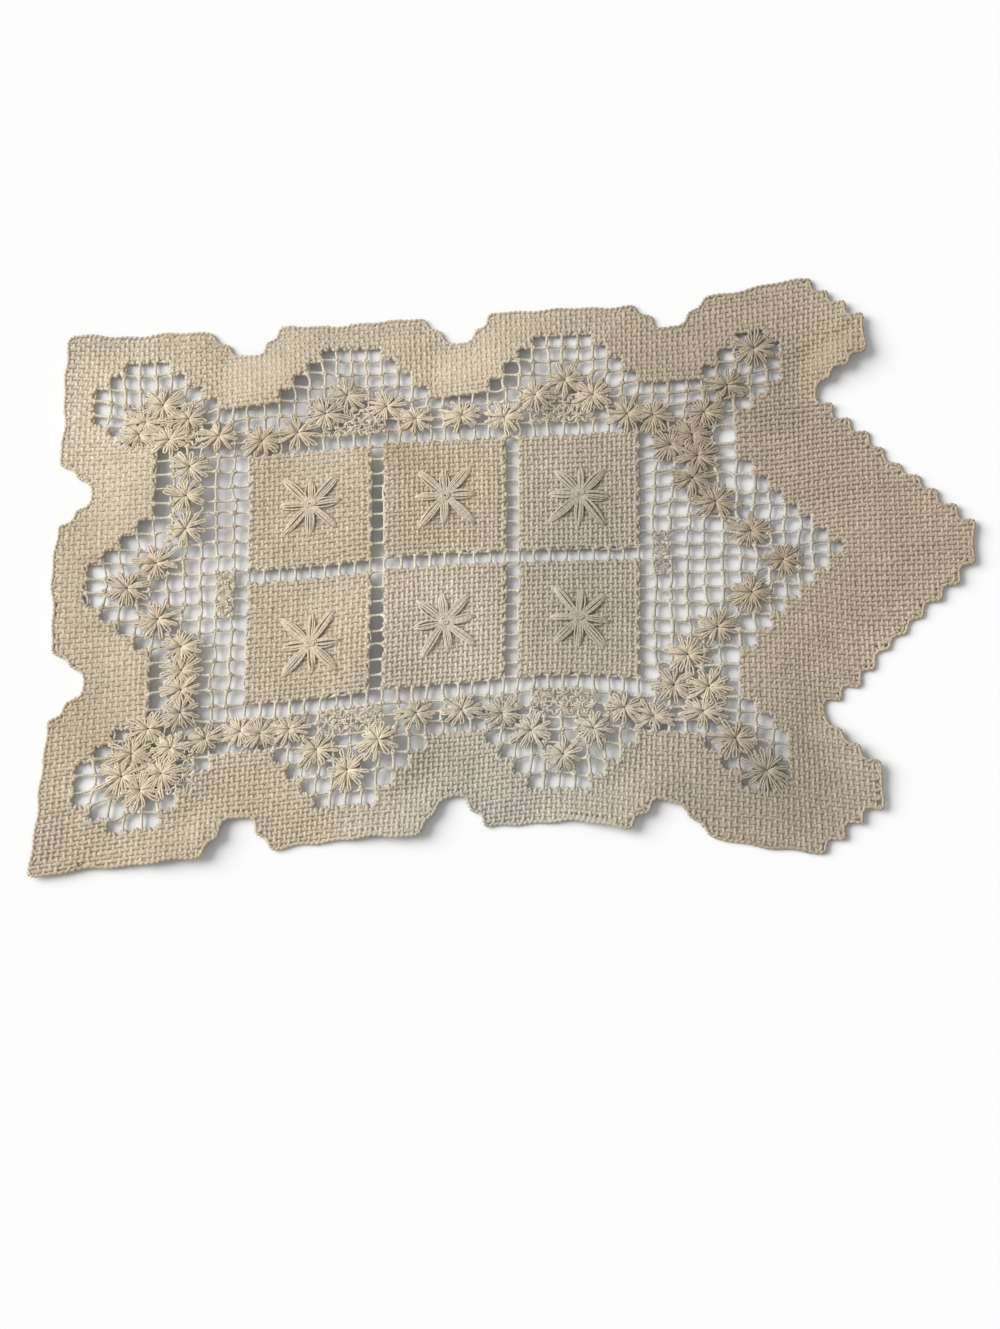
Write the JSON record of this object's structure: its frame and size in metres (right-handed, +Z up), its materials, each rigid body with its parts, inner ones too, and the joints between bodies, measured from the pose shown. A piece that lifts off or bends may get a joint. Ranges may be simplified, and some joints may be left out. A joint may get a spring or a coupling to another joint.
{
  "type": "filet lace table runner",
  "caption": "Flat cotton filet lace runner with a pointed end, stepped lobes round its edge, starred squares and looped flowers in open net.",
  "frame": {"origin": "on the table under the middle of the runner's outline", "axes": "+X along the runner towards its pointed end, +Y across it towards its far edge, +Z up off the table"},
  "size_m": [0.3988, 0.2638, 0.0049],
  "materials": {
    "ecru_cotton": "matt hand-darned cotton"
  },
  "bodies": {
    "root": {"runner": "ecru_cotton"}
  },
  "joints": []
}
